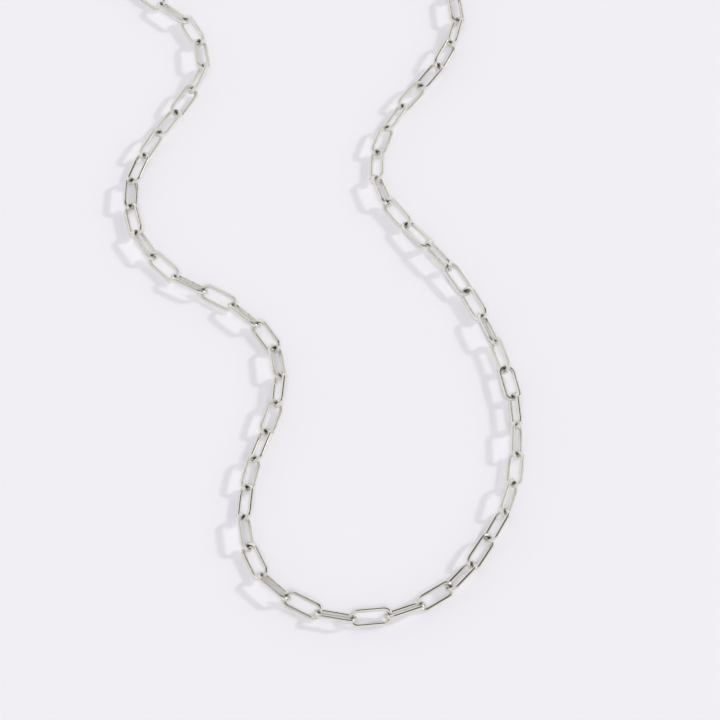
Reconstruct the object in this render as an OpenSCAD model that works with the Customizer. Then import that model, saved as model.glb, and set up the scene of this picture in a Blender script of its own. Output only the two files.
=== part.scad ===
// A paperclip chain necklace. Long oval wire links, each hooked through the next and leaning
// the other way, lie on a flat surface in one whole loop that a plain clasp closes.

/* [Links] */
// Outer length of one link
link_l = 8; // [7.4:0.1:9]
// Outer width of one link
link_w = 3.4; // [3.1:0.1:4]
// Diameter of the wire of a link
wire_d = 0.72; // [0.5:0.02:0.8]
// Least space between the wires of two hooked links
hook_gap = 0.2; // [0.18:0.01:0.4]
// Angle by which one link leans to the left and the next to the right
lean = 40; // [38:1:48]

/* [Clasp] */
// Overall length of the clasp, eye included
clasp_l = 11.8; // [10:0.1:14]
// Outer width of the clasp's oval claw
claw_w = 5; // [4.6:0.1:6]
// Diameter of the bar that the claw is bent from
claw_d = 1.2; // [0.9:0.05:1.3]
// Outer diameter of the eye
eye_w = 2.9; // [2.7:0.1:3.6]
// Diameter of the wire of the eye
eye_d = 0.8; // [0.6:0.05:0.9]
// Diameter of the thumb knob on the side of the claw
knob_d = 1.6; // [1.3:0.05:2]
// Angle by which the clasp leans, against the links next to it
clasp_lean = 30; // [26:1:36]

/* [Hidden] */
$fn = 24;
silver = [0.80, 0.80, 0.78];
up = [0, 0, 1];

// The way of the chain over the surface, from the middle of the clasp round the loop and back.
// Columns: x, y, and the angle by which the chain is twisted there
ROUTE = [
    [-12, 88.5, 10], [-25, 85, 0], [-37, 76.5, 0], [-42.5, 64, 0], [-40.5, 54.5, 0],
    [-33.5, 49, 0], [-26.5, 43.5, 4], [-23, 34.5, 10], [-24.5, 27.5, 18], [-29.5, 17, -26],
    [-34, 4, -4], [-32, -8, 8], [-24, -17.5, 2], [-12.5, -23, -6], [-3.5, -32, -3],
    [-2, -44, 14], [-5, -56.5, 0], [-6, -69.5, 0], [-2, -81, -7], [9, -88, 3],
    [21, -87.5, -8], [32, -80.5, 5], [38.5, -69.5, -2], [42, -60, 18], [42.5, -48, 12],
    [42, -41.5, -28], [40.5, -35, -34], [38.5, -29.5, -20], [36, -23.5, 14], [29.5, -12.5, -32],
    [25.5, -7.5, -52], [21, -3, -20], [14, 6, 6], [12.5, 15, -4], [16.5, 27, -6],
    [23, 38, 24], [26.5, 49, -15], [25.5, 56, -10], [23.5, 68, 0], [16, 79.5, 0],
    [4.5, 86.5, 0]
];
rows = len(ROUTE);
// Points that the smooth curve has for each row
curve_steps = 12;

// Link: radius of the wire, and radius of a round end and half of a straight side at mid wire
wire_r = wire_d / 2;
end_r = (link_w - wire_d) / 2;
side_half = (link_l - link_w) / 2;

// Clasp: the same for the claw and the eye, whose bars cross where they are soldered.
// The span is from joint to joint, and the places are along the clasp from its middle
claw_r = claw_d / 2;
eye_r = eye_d / 2;
claw_bend = (claw_w - claw_d) / 2;
eye_bend = (eye_w - eye_d) / 2;
claw_half = (clasp_l - eye_w + claw_r + eye_r - claw_w) / 2;
clasp_span = clasp_l - claw_d - eye_d - hook_gap;
claw_end = (clasp_span + hook_gap) / 2 + claw_r;
claw_x = claw_end - claw_bend - claw_half;
eye_x = claw_x - claw_half - claw_bend - eye_bend;
knob_y = -claw_bend - claw_r / 2;

// A smooth curve through the rows of the route, which starts and ends at its first row
function row_at(i) = ROUTE[(i + rows) % rows];
function spot(i) = [row_at(i)[0], row_at(i)[1]];
function root_gap(a, b) = sqrt(norm(b - a));
function slope_at(a, b, c, ab, bc) = (b - a) / ab - (c - a) / (ab + bc) + (c - b) / bc;
function on_curve(i, t) =
    let (
        a = spot(i - 1), b = spot(i), c = spot(i + 1), d = spot(i + 2),
        ab = root_gap(a, b), bc = root_gap(b, c), cd = root_gap(c, d),
        b_slope = bc * slope_at(a, b, c, ab, bc),
        c_slope = bc * slope_at(b, c, d, bc, cd)
    )
    (2 * t^3 - 3 * t^2 + 1) * b + (t^3 - 2 * t^2 + t) * b_slope
    + (3 * t^2 - 2 * t^3) * c + (t^3 - t^2) * c_slope;
curve = [
    for (i = [0 : rows - 1])
        for (k = [0 : curve_steps - 1])
            on_curve(i, k / curve_steps),
    spot(0)
];

// Length along the curve up to each of its points, and tables to read places by that length
last = len(curve) - 1;
way = [
    for (i = 0, s = 0; i <= last; s = s + (i < last ? norm(curve[i + 1] - curve[i]) : 0), i = i + 1)
        s
];
x_by_way = [for (i = [0 : last]) [way[i], curve[i][0]]];
y_by_way = [for (i = [0 : last]) [way[i], curve[i][1]]];
twist_by_way = [for (i = [0 : rows]) [way[i * curve_steps], row_at(i)[2]]];

// Links share the way that the clasp leaves in equal steps. Their number is odd, so that
// the two links next to the clasp lean the same way
pitch = link_l - 2 * wire_d - hook_gap;
chain_way = way[last] - clasp_span;
links = 2 * ceil((chain_way / pitch - 1) / 2) + 1;
left_links = ceil(links / 2);
step = chain_way / links;

// A piece that leans stands on its low side, which gives the height of its middle. A joint
// between two pieces is as high as the one that needs more height
function stand(bend, bar, angle) = bend * abs(sin(angle)) + bar;
function link_lean(i) =
    (i % 2 == 0 ? lean : -lean) + lookup(clasp_span / 2 + (i + 0.5) * step, twist_by_way);
function piece_stand(i) =
    i < 0 || i >= links ? stand(claw_bend, claw_r, clasp_lean)
    : stand(end_r, wire_r, link_lean(i));
function joint(i) =
    let (s = clasp_span / 2 + i * step)
    [lookup(s, x_by_way), lookup(s, y_by_way), max(piece_stand(i - 1), piece_stand(i))];
joints = [for (i = [0 : links]) joint(i)];

// Frame of a piece from one joint to the next: middle, long axis, width axis, normal
function unit(a) = a / norm(a);
function frame_of(from, to, angle) =
    let (along = unit(to - from), left = unit(cross(up, along)))
    let (across = cos(angle) * left + sin(angle) * cross(along, left))
    [(from + to) / 2, along, across, cross(along, across)];
link_frames = [for (i = [0 : links - 1]) frame_of(joints[i], joints[i + 1], link_lean(i))];
clasp_frame = frame_of(joints[links], joints[0], -clasp_lean);

// How far a ring of round bar, and then each piece, reaches along a direction
function ring_reach(f, x, bend, bar, dir) =
    (f[0] + x * f[1]) * dir + bend * norm([f[1] * dir, f[2] * dir]) + bar;
function link_reach(f, dir) =
    max(ring_reach(f, side_half, end_r, wire_r, dir), ring_reach(f, -side_half, end_r, wire_r, dir));
function knob_reach(f, dir) = (f[0] + claw_x * f[1] + knob_y * f[2]) * dir + knob_d / 2;
function clasp_reach(f, dir) =
    max(
        ring_reach(f, claw_x + claw_half, claw_bend, claw_r, dir),
        ring_reach(f, claw_x - claw_half, claw_bend, claw_r, dir),
        ring_reach(f, eye_x, eye_bend, eye_r, dir),
        knob_reach(f, dir)
    );
function reach(dir) =
    max(clasp_reach(clasp_frame, dir), max([for (f = link_frames) link_reach(f, dir)]));
lowest = -reach(-up);
middle_x = (reach([1, 0, 0]) - reach([-1, 0, 0])) / 2;
middle_y = (reach([0, 1, 0]) - reach([0, -1, 0])) / 2;

// Puts a piece from its own frame into its place, with the whole necklace over the origin
module place(f) {
    translate([-middle_x, -middle_y, -lowest])
        multmatrix([for (k = [0 : 2]) [f[1][k], f[2][k], f[3][k], f[0][k]]])
            children();
}

// Part of a ring of round bar
module arc(bend, bar, from, turn) {
    rotate([0, 0, from])
        rotate_extrude(angle = turn)
            translate([bend, 0])
                circle(bar);
}

// Half of an oval: a straight side and the round end that follows it
module half_oval(half, bend, bar) {
    translate([half, 0, 0])
        arc(bend, bar, -90, 180);
    translate([-half, -bend, 0])
        rotate([0, 90, 0])
            cylinder(r = bar, h = 2 * half);
}

module oval(half, bend, bar) {
    half_oval(half, bend, bar);
    rotate([0, 0, 180])
        half_oval(half, bend, bar);
}

module chain(first, end) {
    color(silver)
        for (i = [first : end - 1])
            place(link_frames[i])
                oval(side_half, end_r, wire_r);
}

module chain_left() {
    chain(0, left_links);
}

module chain_right() {
    chain(left_links, links);
}

module clasp() {
    color(silver)
        place(clasp_frame) {
            translate([claw_x, 0, 0])
                oval(claw_half, claw_bend, claw_r);
            translate([eye_x, 0, 0])
                arc(eye_bend, eye_r, 0, 360);
            translate([claw_x, knob_y, 0])
                rotate([90, 0, 0])
                    sphere(knob_d / 2);
        }
}

chain_left();
chain_right();
clasp();
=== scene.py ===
"""Dresses the necklace's solids: wire links along the chain, the clasp, polished silver and a pale table."""

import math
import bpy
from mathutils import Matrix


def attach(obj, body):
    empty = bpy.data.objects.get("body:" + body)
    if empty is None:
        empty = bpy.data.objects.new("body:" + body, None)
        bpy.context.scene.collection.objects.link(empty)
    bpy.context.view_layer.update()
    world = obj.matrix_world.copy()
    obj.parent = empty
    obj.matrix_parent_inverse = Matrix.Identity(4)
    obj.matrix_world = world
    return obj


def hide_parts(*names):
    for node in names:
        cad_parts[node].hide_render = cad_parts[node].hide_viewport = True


bl_info = {
    "name": "Paperclip chain necklace",
    "version": (1, 0, 0),
    "blender": (4, 5, 0),
    "location": "View3D > Sidebar > Necklace",
    "description": "Makes the links, the clasp and the table of a silver paperclip chain necklace",
    "category": "Add Mesh",
}

import bmesh
import bpy
import numpy as np
from bpy.props import FloatProperty, FloatVectorProperty, IntProperty, PointerProperty
from mathutils import Matrix, Quaternion, Vector

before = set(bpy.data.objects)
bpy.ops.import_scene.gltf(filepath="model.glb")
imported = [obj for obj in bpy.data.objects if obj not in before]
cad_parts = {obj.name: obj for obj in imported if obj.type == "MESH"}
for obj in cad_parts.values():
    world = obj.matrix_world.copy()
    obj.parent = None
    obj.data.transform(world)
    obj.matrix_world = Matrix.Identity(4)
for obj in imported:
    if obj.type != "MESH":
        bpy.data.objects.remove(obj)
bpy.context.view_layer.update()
MM = 0.001


# Sizes and colours that a user would change

class LinkSettings(bpy.types.PropertyGroup):
    """Sizes of one wire link, in metres."""

    length: FloatProperty(
        name="Length",
        description="Outer length of a link, which leaves a hair of air between hooked wires",
        default=7.9 * MM,
        unit="LENGTH",
    )
    width: FloatProperty(
        name="Width", description="Outer width of a link", default=3.4 * MM, unit="LENGTH"
    )
    wire: FloatProperty(
        name="Wire", description="Diameter of the wire", default=0.74 * MM, unit="LENGTH"
    )
    roundness: FloatProperty(
        name="Roundness",
        description="How round the ends are, from square to a full half circle",
        default=0.94,
        min=0.5,
        max=1,
        subtype="FACTOR",
    )
    swell: FloatProperty(
        name="Seam swell",
        description="How far the wire swells where a link is soldered shut, as a share of its radius",
        default=0.025,
        subtype="FACTOR",
    )
    seam: FloatProperty(
        name="Seam length",
        description="Length of wire over which the soldered seam swells",
        default=0.3 * MM,
        unit="LENGTH",
    )
    wobble: FloatProperty(
        name="Wobble",
        description="How far the wire's surface strays from true, as on drawn and tumbled wire",
        default=0.006 * MM,
        unit="LENGTH",
    )
    sections: IntProperty(
        name="Sections", description="Number of sections along the wire of a link", default=108
    )
    facets: IntProperty(
        name="Facets", description="Number of facets round the wire", default=20
    )
    seed: IntProperty(
        name="Seed", description="Seed of the links' small differences", default=12496
    )


class ClaspSettings(bpy.types.PropertyGroup):
    """Sizes of the clasp, in metres. Its length is the solid's own."""

    claw_width: FloatProperty(
        name="Claw width", description="Outer width of the oval claw", default=5 * MM, unit="LENGTH"
    )
    claw_bar: FloatProperty(
        name="Claw bar", description="Thickness of the claw's bar", default=1.2 * MM, unit="LENGTH"
    )
    eye_width: FloatProperty(
        name="Eye width", description="Outer width of the eye", default=2.9 * MM, unit="LENGTH"
    )
    eye_bar: FloatProperty(
        name="Eye wire", description="Thickness of the eye's wire", default=0.8 * MM, unit="LENGTH"
    )
    knob: FloatProperty(
        name="Knob", description="Diameter of the thumb knob", default=1.6 * MM, unit="LENGTH"
    )
    groove: FloatProperty(
        name="Groove",
        description="Depth of the two grooves that mark off the lever side of the claw",
        default=0.06 * MM,
        unit="LENGTH",
    )
    groove_width: FloatProperty(
        name="Groove width",
        description="Width of a groove along the bar",
        default=0.1 * MM,
        unit="LENGTH",
    )


class SilverSettings(bpy.types.PropertyGroup):
    """Colours of the polished silver."""

    bright: FloatVectorProperty(
        name="Bright silver",
        description="Colour of the clean polished metal",
        subtype="COLOR",
        default=(0.909, 0.893, 0.831),
    )
    pale: FloatVectorProperty(
        name="Pale silver",
        description="Colour of the duller links",
        subtype="COLOR",
        default=(0.96, 0.947, 0.89),
    )
    warm: FloatVectorProperty(
        name="Warm silver",
        description="Colour of the faintly yellowed patches",
        subtype="COLOR",
        default=(0.84, 0.8, 0.725),
    )
    # Near black: dark tarnish and also painted shade, standing in for the contact shade and dark reflections
    # in the hooks
    tarnish_and_shade: FloatVectorProperty(
        name="Tarnish",
        description="Colour of the dulled metal where links rub in each other",
        subtype="COLOR",
        default=(0.038, 0.028, 0.021),
    )
    roughness: FloatProperty(
        name="Roughness", description="Roughness of the polish", default=0.03, subtype="FACTOR"
    )
    satin: FloatProperty(
        name="Satin",
        description="Roughness that the duller links have besides",
        default=0.45,
        subtype="FACTOR",
    )
    frost: FloatProperty(
        name="Frost",
        description="Share of light that the duller links scatter, as frosted metal does",
        default=0.12,
        subtype="FACTOR",
    )


class StageSettings(bpy.types.PropertyGroup):
    """The table, the lights and the camera."""

    table: FloatVectorProperty(
        name="Table",
        description="Colour of the pale table",
        subtype="COLOR",
        default=(0.9, 0.886, 0.935),
    )
    key: FloatProperty(
        name="Key light", description="Strength of the low soft light at the right", default=0.9
    )
    key_width: FloatProperty(
        name="Key width",
        description="Angle that the key light takes up, seen from the necklace",
        default=math.radians(5),
        subtype="ANGLE",
    )
    key_azimuth: FloatProperty(
        name="Key azimuth",
        description="Direction of the key light, from the right towards the back",
        default=math.radians(23),
        subtype="ANGLE",
    )
    key_elevation: FloatProperty(
        name="Key elevation",
        description="Height of the key light above the table",
        default=math.radians(30),
        subtype="ANGLE",
    )
    fill: FloatProperty(
        name="Fill light", description="Strength of the soft light beside the camera", default=1.0
    )
    fill_width: FloatProperty(
        name="Fill width",
        description="Angle that the fill light takes up, seen from the necklace",
        default=math.radians(24),
        subtype="ANGLE",
    )
    room: FloatProperty(
        name="Room", description="Brightness of the dim room below the tent's edge", default=0.1
    )
    wall: FloatProperty(
        name="Wall", description="Brightness of the white tent near the table's height", default=0.98
    )
    roof: FloatProperty(
        name="Roof", description="Brightness of the white tent above", default=0.86
    )
    window: FloatProperty(
        name="Window", description="Brightness of the window that the key light shines in at", default=4.3
    )
    shade: FloatProperty(
        name="Shade", description="Brightness of the tent's dim left side", default=0.53
    )
    gap: FloatProperty(
        name="Gap", description="Brightness of the dark room in the gap above the window", default=0.01
    )
    lens: FloatProperty(
        name="Lens",
        description="Focal length in millimetres, on a 36 mm sensor",
        default=166.85,
    )
    distance: FloatProperty(
        name="Distance",
        description="From the camera to the point that it looks at",
        default=621.74 * MM,
        unit="LENGTH",
    )
    elevation: FloatProperty(
        name="Elevation",
        description="Angle at which the camera looks down on the table",
        default=math.radians(55.77),
        subtype="ANGLE",
    )
    roll: FloatProperty(
        name="Roll",
        description="Turn of the camera about its line of sight",
        default=math.radians(4.71),
        subtype="ANGLE",
    )
    target: FloatVectorProperty(
        name="Target",
        description="Point that the camera looks at",
        subtype="TRANSLATION",
        unit="LENGTH",
        default=(12.48 * MM, -33.68 * MM, 1.25 * MM),
    )


# Node trees, for geometry and for shaders

class Value:
    """One output socket of a node tree. Sums with it add Math nodes."""

    def __init__(self, graph, socket):
        self.graph = graph
        self.socket = socket

    def maths(self, operation, *terms):
        """A Math node on up to three terms."""
        return self.graph.node(
            "ShaderNodeMath", {"operation": operation}, dict(enumerate(terms))
        )

    def __add__(self, other):
        return self.maths("ADD", self, other)

    __radd__ = __add__

    def __mul__(self, other):
        return self.maths("MULTIPLY", self, other)

    __rmul__ = __mul__

    def __sub__(self, other):
        return self.maths("SUBTRACT", self, other)

    def __rsub__(self, other):
        return self.maths("SUBTRACT", other, self)

    def __truediv__(self, other):
        return self.maths("DIVIDE", self, other)

    def __rtruediv__(self, other):
        return self.maths("DIVIDE", other, self)

    def __gt__(self, other):
        return self.maths("GREATER_THAN", self, other)

    def bell(self, width):
        """1 where this value is 0, falling off over the width on both sides."""
        share = self / width
        return self.maths("EXPONENT", share * share * -1)

    def absolute(self):
        """This value without its sign."""
        return self.maths("ABSOLUTE", self)

    def step(self, start, end, low=0, high=1):
        """Runs smoothly from low at the start to high at the end."""
        return self.graph.node(
            "ShaderNodeMapRange",
            {"interpolation_type": "SMOOTHSTEP"},
            {"Value": self, "From Min": start, "From Max": end, "To Min": low, "To Max": high},
        )


class Graph:
    """Adds nodes to one tree."""

    def __init__(self, tree):
        self.tree = tree

    def node(self, kind, settings=None, sockets=None, output=0):
        """A node with its settings and then its sockets, as the Value of one of its outputs."""
        node = self.tree.nodes.new(kind)
        for name, setting in (settings or {}).items():
            setattr(node, name, setting)
        for name, value in (sockets or {}).items():
            self.feed(self.socket(node.inputs, name), value)
        outputs = [socket for socket in node.outputs if socket.enabled]
        return Value(self, self.socket(outputs, output)) if outputs else node

    def socket(self, sockets, name):
        """A socket that is in use, by its name or its number."""
        shown = [socket for socket in sockets if socket.enabled]
        if isinstance(name, int):
            return shown[name]
        return next(socket for socket in shown if socket.name == name)

    def feed(self, socket, value):
        """Links a Value to a socket, or sets the socket to anything else."""
        if isinstance(value, Value):
            self.tree.links.new(value.socket, socket)
        else:
            socket.default_value = value

    def mix(self, share, first, second):
        """One colour over another."""
        return self.node(
            "ShaderNodeMix",
            {"data_type": "RGBA"},
            {"Factor": share, "A": opaque(first), "B": opaque(second)},
        )

    def noise(self, where, scale, detail):
        """Smooth noise from 0 to 1, with its scale in repeats to a metre."""
        return self.node(
            "ShaderNodeTexNoise", {}, {"Vector": where, "Scale": scale, "Detail": detail}, "Fac"
        )

    def apart(self, vector, axis):
        """One of the three parts of a vector."""
        return self.node("ShaderNodeSeparateXYZ", {}, {"Vector": vector}, axis)

    def vector(self, x, y, z):
        return self.node("ShaderNodeCombineXYZ", {}, {"X": x, "Y": y, "Z": z})


def opaque(colour):
    """A plain colour with its alpha, or a Value as it is."""
    return colour if isinstance(colour, Value) else (*colour, 1)


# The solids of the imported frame, and the places of their pieces

# Corners of a solid nearer than this are one corner
SAME_CORNER = 0.0005 * MM
# Edges at least this share of the longest one run along the straight bars
LONG_SHARE = 0.97


def solids_of(node):
    """The loose solids of a node, each as its points and the runs of its edges."""
    mesh = bmesh.new()
    mesh.from_mesh(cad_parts[node].data)
    bmesh.ops.remove_doubles(mesh, verts=mesh.verts, dist=SAME_CORNER)
    mesh.verts.index_update()
    mesh.edges.index_update()
    mesh.edges.ensure_lookup_table()
    found = []
    seen = set()
    for start in mesh.verts:
        if start in seen:
            continue
        seen.add(start)
        solid = [start]
        # The list grows while it is walked, which keeps one order in every run
        for vert in solid:
            for edge in vert.link_edges:
                other = edge.other_vert(vert)
                if other not in seen:
                    seen.add(other)
                    solid.append(other)
        points = np.array([vert.co[:] for vert in solid])
        numbers = sorted({edge.index for vert in solid for edge in vert.link_edges})
        edges = [mesh.edges[number] for number in numbers]
        runs = np.array([(edge.verts[1].co - edge.verts[0].co)[:] for edge in edges])
        found.append((points, runs))
    mesh.free()
    return found


def straight_axis(runs):
    """Direction of the straight bars of a solid, whose edges are its longest ones."""
    lengths = np.linalg.norm(runs, axis=1)
    longest = runs[lengths > LONG_SHARE * lengths.max()]
    longest = longest * np.sign(longest @ longest[0])[:, None]
    axis = longest.sum(axis=0)
    return axis / np.linalg.norm(axis)


def flat_normal(points, along):
    """Direction across which a solid is thinnest, at right angles to its bars."""
    spread = points - points.mean(axis=0)
    spread = spread - np.outer(spread @ along, along)
    normal = np.linalg.svd(spread, full_matrices=False)[2][1]
    if normal[2] < 0:
        normal = -normal
    return normal


def middle_of(points, axes):
    """Middle of a solid between its furthest points along each of three axes."""
    places = points @ axes.T
    return (places.min(axis=0) + places.max(axis=0)) / 2 @ axes


def link_places(node):
    """Middle and turn of each link of a node."""
    places = []
    for points, runs in solids_of(node):
        along = straight_axis(runs)
        normal = flat_normal(points, along)
        axes = np.array([along, np.cross(normal, along), normal])
        turn = Matrix(axes.T.tolist()).to_quaternion()
        places.append((middle_of(points, axes), turn))
    return sorted(places, key=lambda place: tuple(place[0]))


# Pieces

def finish_piece(piece, node):
    """Lets a finished piece stand for its CAD node."""
    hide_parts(node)
    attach(piece, "root")


LINK_SOCKETS = (
    ("Places", "NodeSocketGeometry"),
    ("Length", "NodeSocketFloat"),
    ("Width", "NodeSocketFloat"),
    ("Wire", "NodeSocketFloat"),
    ("Roundness", "NodeSocketFloat"),
    ("Swell", "NodeSocketFloat"),
    ("Seam", "NodeSocketFloat"),
    ("Wobble", "NodeSocketFloat"),
    ("Sections", "NodeSocketInt"),
    ("Facets", "NodeSocketInt"),
    ("Seed", "NodeSocketInt"),
    ("Material", "NodeSocketMaterial"),
)
# Points that each rounded corner of a link's outline has, before its wire is cut into sections
CORNER_POINTS = 24
# The swell of a seam ends in a dip, this deep beside the swell and this many seam lengths away
DIP = 0.45
DIP_PLACE = 1.6
# Distances from the middle of a hook, in wire diameters, between which its dark tarnish and painted shade,
# and its rougher metal, end
HOOK_TARNISH_AND_SHADE_EDGE = (0.3, 1.25)
# Waves of the wire's wobble to a metre
WOBBLE_SCALE = 450.0


def bent_wire(g, given):
    """One link about its own middle: a round wire along a rounded outline, with a seam."""
    wire = given["Wire"]
    outline = g.node(
        "GeometryNodeCurvePrimitiveQuadrilateral",
        {"mode": "RECTANGLE"},
        {"Width": given["Length"] - wire, "Height": given["Width"] - wire},
    )
    rounded = g.node(
        "GeometryNodeFilletCurve",
        {"mode": "POLY"},
        {
            "Curve": outline,
            "Count": CORNER_POINTS,
            "Radius": (given["Width"] - wire) * 0.5 * given["Roundness"],
            "Limit Radius": True,
        },
    )
    path = g.node(
        "GeometryNodeResampleCurve",
        {"mode": "COUNT"},
        {"Curve": rounded, "Count": given["Sections"]},
    )
    path = g.node(
        "GeometryNodeStoreNamedAttribute",
        {"data_type": "FLOAT", "domain": "POINT"},
        {
            "Geometry": path,
            "Name": "along",
            "Value": g.node("GeometryNodeSplineParameter", output="Length"),
        },
    )
    round_wire = g.node(
        "GeometryNodeCurvePrimitiveCircle",
        {"mode": "RADIUS"},
        {"Resolution": given["Facets"], "Radius": wire * 0.5},
    )
    round_wire = g.node(
        "GeometryNodeStoreNamedAttribute",
        {"data_type": "FLOAT_VECTOR", "domain": "POINT"},
        {
            "Geometry": round_wire,
            "Name": "around",
            "Value": g.node("GeometryNodeInputPosition"),
        },
    )
    place = g.node("GeometryNodeInputPosition")
    x = g.apart(place, "X")
    y = g.apart(place, "Y")
    z = g.apart(place, "Z")
    dip = DIP * (x - given["Seam"] * DIP_PLACE).bell(given["Seam"])
    seam = (x.bell(given["Seam"]) - dip) * (y > 0)
    link = g.node(
        "GeometryNodeCurveToMesh",
        {},
        {"Curve": path, "Profile Curve": round_wire, "Scale": 1 + given["Swell"] * seam},
    )
    # Mask of the hooks, where the silver gets dark tarnish and painted shade for the contact shade and dark
    # reflections there
    into = x.absolute() - (given["Length"] * 0.5 - wire)
    hook_distance = g.node(
        "ShaderNodeVectorMath", {"operation": "LENGTH"}, {0: g.vector(into, y, z)}, "Value"
    )
    return g.node(
        "GeometryNodeStoreNamedAttribute",
        {"data_type": "FLOAT", "domain": "POINT"},
        {
            "Geometry": link,
            "Name": "hook_tarnish_and_shade",
            "Value": (hook_distance / wire).step(*HOOK_TARNISH_AND_SHADE_EDGE, 1, 0),
        },
    )


def link_tree():
    """Bends one wire link and sets a copy of it at each point, turned by the point's attribute."""
    tree = bpy.data.node_groups.new("Wire links", "GeometryNodeTree")
    for name, kind in LINK_SOCKETS:
        tree.interface.new_socket(name, in_out="INPUT", socket_type=kind)
    tree.interface.new_socket("Links", in_out="OUTPUT", socket_type="NodeSocketGeometry")
    g = Graph(tree)
    start = tree.nodes.new("NodeGroupInput")
    given = {name: Value(g, start.outputs[name]) for name, _ in LINK_SOCKETS}
    link = bent_wire(g, given)
    places = g.node(
        "GeometryNodeStoreNamedAttribute",
        {"data_type": "FLOAT", "domain": "POINT"},
        {
            "Geometry": given["Places"],
            "Name": "tone",
            "Value": g.node(
                "FunctionNodeRandomValue",
                {"data_type": "FLOAT"},
                {"Min": 0.0, "Max": 1.0, "Seed": given["Seed"]},
            ),
        },
    )
    links = g.node(
        "GeometryNodeInstanceOnPoints",
        {},
        {
            "Points": places,
            "Instance": link,
            "Rotation": g.node(
                "GeometryNodeInputNamedAttribute", {"data_type": "QUATERNION"}, {"Name": "turn"}
            ),
        },
    )
    links = g.node("GeometryNodeRealizeInstances", {}, {"Geometry": links})
    waver = g.node(
        "ShaderNodeTexNoise",
        {"noise_dimensions": "4D"},
        {"W": given["Seed"], "Scale": WOBBLE_SCALE, "Detail": 1.0},
        "Fac",
    )
    shift = g.node(
        "ShaderNodeVectorMath",
        {"operation": "SCALE"},
        {"Vector": g.node("GeometryNodeInputNormal"), "Scale": (waver - 0.5) * given["Wobble"]},
        "Vector",
    )
    links = g.node("GeometryNodeSetPosition", {}, {"Geometry": links, "Offset": shift})
    links = g.node("GeometryNodeSetShadeSmooth", {}, {"Geometry": links, "Shade Smooth": True})
    links = g.node(
        "GeometryNodeSetMaterial", {}, {"Geometry": links, "Material": given["Material"]}
    )
    end = tree.nodes.new("NodeGroupOutput")
    g.feed(end.inputs["Links"], links)
    return tree


def place_points(name, places):
    """An object with one point for each place, which holds the turn of the piece there."""
    mesh = bpy.data.meshes.new(name)
    mesh.from_pydata([tuple(place) for place, _ in places], [], [])
    turns = mesh.attributes.new("turn", "QUATERNION", "POINT")
    for entry, (_, turn) in zip(turns.data, places):
        entry.value = turn
    points = bpy.data.objects.new(name, mesh)
    bpy.context.collection.objects.link(points)
    return points


def set_inputs(modifier, values):
    """Sets the inputs of a Geometry Nodes modifier by their names."""
    for item in modifier.node_group.interface.items_tree:
        if item.item_type == "SOCKET" and item.in_out == "INPUT" and item.name in values:
            modifier[item.identifier] = values[item.name]


def plain_mesh(source, name):
    """The evaluated result of an object's modifiers as a new plain object. The source goes."""
    graph = bpy.context.evaluated_depsgraph_get()
    mesh = bpy.data.meshes.new_from_object(
        source.evaluated_get(graph), preserve_all_data_layers=True, depsgraph=graph
    )
    mesh.name = name
    bpy.data.objects.remove(source)
    piece = bpy.data.objects.new(name, mesh)
    bpy.context.collection.objects.link(piece)
    return piece


# Grain of the silver: repeats to a metre
PATCH_SCALE = 260.0
TARNISH_AND_SHADE_SCALE = 1800.0
SCRATCH_SCALE = 9000.0
DENT_SCALE = 1400.0
# Scale of the scratches along a wire, as a share of that across it
DRAWN_OUT = 0.06
# Levels of noise between which a yellowed patch sets in, and those for the dark tarnish and painted shade in
# the hooks, which is never less than a share of its most
PATCH_EDGE = (0.35, 0.7)
TARNISH_AND_SHADE_EDGE = (0.2, 0.6)
LEAST_TARNISH_AND_SHADE = 0.55
# Share of the yellowed colour in a patch, and of the dark tarnish and painted shade in a hook
YELLOWED = 0.6
TARNISH_AND_SHADE_SHARE = 0.95
# Roughness that a yellowed patch and a hook have besides
PATCH_ROUGHNESS = 0.04
HOOK_ROUGHNESS = 0.16
# Tones, from 0 to 1, between which a link turns from polished to pale
PALE_EDGE = (0.45, 0.65)
BUMP_STRENGTH = 0.15
BUMP_HEIGHT = 0.003 * MM


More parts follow.
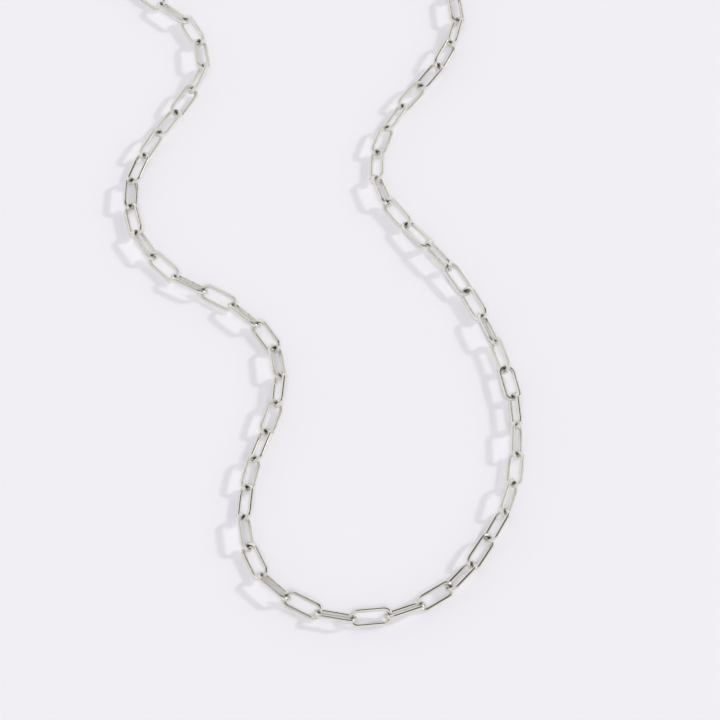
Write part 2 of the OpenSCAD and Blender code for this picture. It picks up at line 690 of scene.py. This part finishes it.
def silver(name, look, worn=True):
    """Polished silver with yellowed patches and scratches. Worn, it also has hooks darkened with tarnish and
    painted shade, for the contact shade and dark reflections there, and links that are paler than others."""
    material = bpy.data.materials.new(name)
    material.use_nodes = True
    material.node_tree.nodes.clear()
    g = Graph(material.node_tree)
    place = g.node("ShaderNodeTexCoord", output="Object")
    patches = g.noise(place, PATCH_SCALE, 3.0).step(*PATCH_EDGE)
    colour = g.mix(patches * YELLOWED, look.bright, look.warm)
    roughness = look.roughness + PATCH_ROUGHNESS * patches
    if worn:
        hook_tarnish_and_shade = g.node("ShaderNodeAttribute", {"attribute_name": "hook_tarnish_and_shade"}, output="Fac")
        tone = g.node("ShaderNodeAttribute", {"attribute_name": "tone"}, output="Fac")
        along = g.node("ShaderNodeAttribute", {"attribute_name": "along"}, output="Fac")
        around = g.node("ShaderNodeAttribute", {"attribute_name": "around"}, output="Vector")
        drawn = g.vector(along * DRAWN_OUT, g.apart(around, "X"), g.apart(around, "Y"))
        pale = tone.step(*PALE_EDGE)
        colour = g.mix(pale, colour, look.pale)
        # The hooks get near-black tarnish that is also painted shade: contact shade and dark reflections
        # painted into the colour, varied by noise
        tarnish_and_shade_noise = g.noise(place, TARNISH_AND_SHADE_SCALE, 2.0).step(*TARNISH_AND_SHADE_EDGE, LEAST_TARNISH_AND_SHADE, 1)
        tarnish_and_shade_mask = hook_tarnish_and_shade * tarnish_and_shade_noise
        colour = g.mix(tarnish_and_shade_mask * TARNISH_AND_SHADE_SHARE, colour, look.tarnish_and_shade)
        roughness = roughness + HOOK_ROUGHNESS * tarnish_and_shade_mask + look.satin * pale
        metallic = 1 - look.frost * pale * (1 - tarnish_and_shade_mask)
    else:
        drawn = place
        metallic = 1.0
    scratches = g.noise(drawn, SCRATCH_SCALE, 2.0)
    dents = g.noise(place, DENT_SCALE, 1.0)
    bump = g.node(
        "ShaderNodeBump",
        {},
        {"Strength": BUMP_STRENGTH, "Distance": BUMP_HEIGHT, "Height": scratches + dents},
    )
    shader = g.node(
        "ShaderNodeBsdfPrincipled",
        {},
        {"Base Color": colour, "Metallic": metallic, "Roughness": roughness, "Normal": bump},
    )
    g.node("ShaderNodeOutputMaterial", {}, {"Surface": shader})
    return material


def ring_points(centre, inward, up, radius, facets):
    """Points round a bar at one place of its path."""
    turns = [2 * math.pi * k / facets for k in range(facets)]
    return [
        centre + radius * (math.cos(turn) * inward + math.sin(turn) * up) for turn in turns
    ]


def add_loop(mesh, path, radii, facets):
    """Sweeps a round bar with a changing radius along a closed flat path."""
    up = Vector((0, 0, 1))
    rings = []
    for k, centre in enumerate(path):
        ahead = path[(k + 1) % len(path)] - path[k - 1]
        inward = up.cross(ahead).normalized()
        ring = ring_points(centre, inward, up, radii[k], facets)
        rings.append([mesh.verts.new(point) for point in ring])
    for k, ring in enumerate(rings):
        after = rings[(k + 1) % len(rings)]
        for j in range(facets):
            i = (j + 1) % facets
            mesh.faces.new((ring[j], after[j], after[i], ring[i]))


def oval_path(half, bend, sections):
    """Points at even steps round an oval of two straight sides and two round ends."""
    around = 4 * half + 2 * math.pi * bend
    path = []
    for k in range(sections):
        way = around * k / sections
        if way < 2 * half:
            path.append(Vector((way - half, -bend, 0)))
        elif way < 2 * half + math.pi * bend:
            turn = (way - 2 * half) / bend - math.pi / 2
            path.append(Vector((half + bend * math.cos(turn), bend * math.sin(turn), 0)))
        elif way < 4 * half + math.pi * bend:
            path.append(Vector((half - (way - 2 * half - math.pi * bend), bend, 0)))
        else:
            turn = (way - 4 * half - math.pi * bend) / bend + math.pi / 2
            path.append(Vector((-half + bend * math.cos(turn), bend * math.sin(turn), 0)))
    return path


def add_turned(mesh, profile, base, axis, facets):
    """Turns a profile of radius and height about an axis. The profile starts and ends on it."""
    side = axis.orthogonal().normalized()
    other = axis.cross(side)
    rings = []
    for radius, height in profile[1:-1]:
        ring = ring_points(base + height * axis, side, other, radius, facets)
        rings.append([mesh.verts.new(point) for point in ring])
    first = mesh.verts.new(base + profile[0][1] * axis)
    last = mesh.verts.new(base + profile[-1][1] * axis)
    for j in range(facets):
        i = (j + 1) % facets
        mesh.faces.new((first, rings[0][i], rings[0][j]))
        mesh.faces.new((last, rings[-1][j], rings[-1][i]))
        for ring, after in zip(rings, rings[1:]):
            mesh.faces.new((ring[j], ring[i], after[i], after[j]))


def ball(radius, steps):
    """Profile of a ball about its own middle."""
    turns = [math.pi * k / steps for k in range(steps + 1)]
    return [(radius * math.sin(turn), -radius * math.cos(turn)) for turn in turns]


class NECKLACE_OT_links(bpy.types.Operator):
    """Sets the wire links along both runs of the chain"""

    bl_idname = "necklace.links"
    bl_label = "Links"

    def execute(self, context):
        sizes = context.scene.necklace_links
        tree = link_tree()
        metal = silver("link_silver_polished", context.scene.necklace_silver)
        runs = (("chain_left", "links_left"), ("chain_right", "links_right"))
        for number, (node, name) in enumerate(runs):
            points = place_points(f"{name}_places", link_places(node))
            modifier = points.modifiers.new("Wire links", "NODES")
            modifier.node_group = tree
            values = {
                "Length": sizes.length,
                "Width": sizes.width,
                "Wire": sizes.wire,
                "Roundness": sizes.roundness,
                "Swell": sizes.swell,
                "Seam": sizes.seam,
                "Wobble": sizes.wobble,
                "Sections": sizes.sections,
                "Facets": sizes.facets,
                "Seed": sizes.seed + number,
                "Material": metal,
            }
            set_inputs(modifier, values)
            finish_piece(plain_mesh(points, name), node)
        return {"FINISHED"}


# Sections along the clasp's bars and facets round them
CLAW_SECTIONS = 440
CLAW_FACETS = 28
EYE_SECTIONS = 96
EYE_FACETS = 24
KNOB_STEPS = 24
KNOB_FACETS = 40


class NECKLACE_OT_clasp(bpy.types.Operator):
    """Makes the clasp: an oval claw with a lever side and a thumb knob, and its eye"""

    bl_idname = "necklace.clasp"
    bl_label = "Clasp"

    def execute(self, context):
        sizes = context.scene.necklace_clasp
        points, runs = solids_of("clasp")[0]
        along = straight_axis(runs)
        normal = flat_normal(points, along)
        across = np.cross(normal, along)
        # The knob stands out on one side of the claw, and across runs away from it
        reach = points @ across
        if reach.max() - np.median(reach) > np.median(reach) - reach.min():
            across = -across
            along = -along
        axes = np.array([along, across, normal])
        places = points @ axes.T
        claw_tip = places[:, 0].max()
        flat_side = places[:, 1].max()
        middle = (places[:, 2].min() + places[:, 2].max()) / 2

        claw_radius = sizes.claw_bar / 2
        eye_radius = sizes.eye_bar / 2
        bend = (sizes.claw_width - sizes.claw_bar) / 2
        eye_bend = (sizes.eye_width - sizes.eye_bar) / 2
        length = claw_tip - places[:, 0].min()
        half = (length - sizes.eye_width + claw_radius + eye_radius - sizes.claw_width) / 2

        mesh = bmesh.new()
        path = oval_path(half, bend, CLAW_SECTIONS)
        radii = []
        for point in path:
            ring = (abs(point.x) - half + claw_radius) / sizes.groove_width
            depth = sizes.groove * math.exp(-ring * ring) if point.y < -bend / 2 else 0
            radii.append(claw_radius - depth)
        add_loop(mesh, path, radii, CLAW_FACETS)
        eye = Vector((-half - bend - eye_bend, 0, 0))
        eye_path = [eye + point for point in oval_path(0, eye_bend, EYE_SECTIONS)]
        add_loop(mesh, eye_path, [eye_radius] * len(eye_path), EYE_FACETS)
        knob = Vector((0, -bend - claw_radius / 2, 0))
        profile = ball(sizes.knob / 2, KNOB_STEPS)
        add_turned(mesh, profile, knob, Vector((0, -1, 0)), KNOB_FACETS)
        bmesh.ops.recalc_face_normals(mesh, faces=mesh.faces)
        place = Matrix(axes.T.tolist()).to_4x4()
        claw_x = claw_tip - claw_radius - bend - half
        claw_y = flat_side - claw_radius - bend
        place.translation = Vector(np.array([claw_x, claw_y, middle]) @ axes)
        bmesh.ops.transform(mesh, matrix=place, verts=mesh.verts)
        made = bpy.data.meshes.new("clasp_piece")
        mesh.to_mesh(made)
        mesh.free()
        made.shade_smooth()
        metal = silver("clasp_silver_polished", context.scene.necklace_silver, worn=False)
        made.materials.append(metal)
        piece = bpy.data.objects.new("clasp_piece", made)
        context.collection.objects.link(piece)
        finish_piece(piece, "clasp")
        return {"FINISHED"}


# The table, the lights and the camera

# Half of the table's side, in metres, and its faint grain: repeats to a metre, levels of noise
# between which it sets in, colour and share
TABLE_REACH = 3
GRAIN_SCALE = 900.0
GRAIN_EDGE = (0.3, 0.7)
GRAIN_COLOUR = (0.8, 0.79, 0.82)
GRAIN_SHARE = 0.03
TABLE_ROUGHNESS = 0.85
TABLE_SHINE = 0.2
LIGHT_COLOUR = (1, 0.99, 0.97)
# Heights, as the sine of the elevation, between which the tent's wall passes into its roof and
# the dim room at its foot into the wall
ROOF_EDGE = (0.37, 0.5)
ROOM_EDGE = (0.1, 0.22)
# Round patches of the tent in the order in which they lie over each other, each with its way round
# from +X and up, and the angles from its middle at which it begins and has faded, in degrees
PATCHES = {
    "shade": {"azimuth": -139, "elevation": 56, "inner": 28, "outer": 40},
    "window": {"azimuth": 23, "elevation": 27, "inner": 3, "outer": 12},
    "gap": {"azimuth": 32, "elevation": 61, "inner": 31, "outer": 34.5},
}
# Width of the camera's sensor, and where its view begins
SENSOR_MM = 36
CLIP_START = 0.01


def table_top(look):
    """A wide pale table."""
    mesh = bpy.data.meshes.new("table_top")
    near, far = -TABLE_REACH, TABLE_REACH
    corners = [(near, near, 0), (far, near, 0), (far, far, 0), (near, far, 0)]
    mesh.from_pydata(corners, [], [(0, 1, 2, 3)])
    material = bpy.data.materials.new("pale_table")
    material.use_nodes = True
    material.node_tree.nodes.clear()
    g = Graph(material.node_tree)
    place = g.node("ShaderNodeTexCoord", output="Object")
    grain = g.noise(place, GRAIN_SCALE, 3.0).step(*GRAIN_EDGE)
    colour = g.mix(grain * GRAIN_SHARE, look.table, GRAIN_COLOUR)
    shader = g.node(
        "ShaderNodeBsdfPrincipled",
        {},
        {
            "Base Color": colour,
            "Roughness": TABLE_ROUGHNESS,
            "Specular IOR Level": TABLE_SHINE,
        },
    )
    g.node("ShaderNodeOutputMaterial", {}, {"Surface": shader})
    mesh.materials.append(material)
    top = bpy.data.objects.new("table_top", mesh)
    bpy.context.collection.objects.link(top)


def facing(azimuth, elevation):
    """Unit vector towards a place that is an azimuth round from +X and an elevation up."""
    flat = math.cos(elevation)
    return Vector((flat * math.cos(azimuth), flat * math.sin(azimuth), math.sin(elevation)))


def far_light(look, name, strength, width, towards):
    """A far soft light, which the silver doesn't mirror: it mirrors the window in the tent."""
    data = bpy.data.lights.new(name, "SUN")
    data.energy = strength
    data.angle = width
    data.color = LIGHT_COLOUR
    light = bpy.data.objects.new(name, data)
    light.visible_glossy = False
    light.rotation_mode = "QUATERNION"
    light.rotation_quaternion = towards.to_track_quat("Z", "Y")
    light.location = Vector(look.target) + towards
    bpy.context.collection.objects.link(light)


def lights(look):
    """The key light, which throws the shadows to the left, and a fill beside the camera."""
    key = facing(look.key_azimuth, look.key_elevation)
    far_light(look, "key", look.key, look.key_width, key)
    fill = facing(-math.pi / 2, look.elevation)
    far_light(look, "fill", look.fill, look.fill_width, fill)


def patch(g, way, azimuth, elevation, inner, outer):
    """1 within the inner angle of a direction and 0 beyond the outer one, all in degrees."""
    middle = facing(math.radians(azimuth), math.radians(elevation))
    nearness = g.node(
        "ShaderNodeVectorMath", {"operation": "DOT_PRODUCT"}, {0: way, 1: middle}, "Value"
    )
    return nearness.step(math.cos(math.radians(outer)), math.cos(math.radians(inner)))


def tent(look):
    """A white tent over a dim room, with a window, a dark gap above it and a dim left side."""
    world = bpy.data.worlds.new("tent")
    world.use_nodes = True
    world.node_tree.nodes.clear()
    g = Graph(world.node_tree)
    way = g.node("ShaderNodeTexCoord", output="Generated")
    height = g.apart(way, "Z")
    glow = height.step(*ROOF_EDGE, look.wall, look.roof)
    glow = glow - (look.wall - look.room) * height.step(*ROOM_EDGE, 1, 0)
    for name, place in PATCHES.items():
        glow = glow + (getattr(look, name) - glow) * patch(g, way, **place)
    shader = g.node("ShaderNodeBackground", {}, {"Color": (1, 1, 1, 1), "Strength": glow})
    g.node("ShaderNodeOutputWorld", {}, {"Surface": shader})
    bpy.context.scene.world = world


def photo_camera(look):
    """The camera, at the angle of the photograph."""
    data = bpy.data.cameras.new("camera")
    data.lens = look.lens
    data.sensor_width = SENSOR_MM
    data.clip_start = CLIP_START
    camera = bpy.data.objects.new("camera", data)
    away = facing(-math.pi / 2, look.elevation)
    camera.rotation_mode = "QUATERNION"
    camera.rotation_quaternion = away.to_track_quat("Z", "Y") @ Quaternion((0, 0, 1), look.roll)
    camera.location = Vector(look.target) + look.distance * away
    bpy.context.collection.objects.link(camera)
    bpy.context.scene.camera = camera


class NECKLACE_OT_stage(bpy.types.Operator):
    """Lays the table, and sets the lights and the camera"""

    bl_idname = "necklace.stage"
    bl_label = "Table, lights and camera"

    def execute(self, context):
        look = context.scene.necklace_stage
        context.scene.view_settings.view_transform = "Standard"
        table_top(look)
        lights(look)
        tent(look)
        photo_camera(look)
        return {"FINISHED"}


class NECKLACE_PT_panel(bpy.types.Panel):
    """Lists the necklace's pieces, its silver and the stage"""

    bl_label = "Paperclip chain necklace"
    bl_space_type = "VIEW_3D"
    bl_region_type = "UI"
    bl_category = "Necklace"

    def draw(self, context):
        for operator, settings in (
            ("necklace.links", "necklace_links"),
            ("necklace.clasp", "necklace_clasp"),
            (None, "necklace_silver"),
            ("necklace.stage", "necklace_stage"),
        ):
            box = self.layout.box()
            if operator:
                box.operator(operator)
            else:
                box.label(text="Silver")
            group = getattr(context.scene, settings)
            for name in group.__annotations__:
                box.prop(group, name)


SETTINGS = {
    "necklace_links": LinkSettings,
    "necklace_clasp": ClaspSettings,
    "necklace_silver": SilverSettings,
    "necklace_stage": StageSettings,
}
CLASSES = (
    *SETTINGS.values(),
    NECKLACE_OT_links,
    NECKLACE_OT_clasp,
    NECKLACE_OT_stage,
    NECKLACE_PT_panel,
)


def register():
    for entry in CLASSES:
        bpy.utils.register_class(entry)
    for name, group in SETTINGS.items():
        setattr(bpy.types.Scene, name, PointerProperty(type=group))


def unregister():
    for name in SETTINGS:
        delattr(bpy.types.Scene, name)
    for entry in reversed(CLASSES):
        bpy.utils.unregister_class(entry)


def main():
    register()
    bpy.ops.necklace.links()
    bpy.ops.necklace.clasp()
    bpy.ops.necklace.stage()


if __name__ == "__main__":
    main()
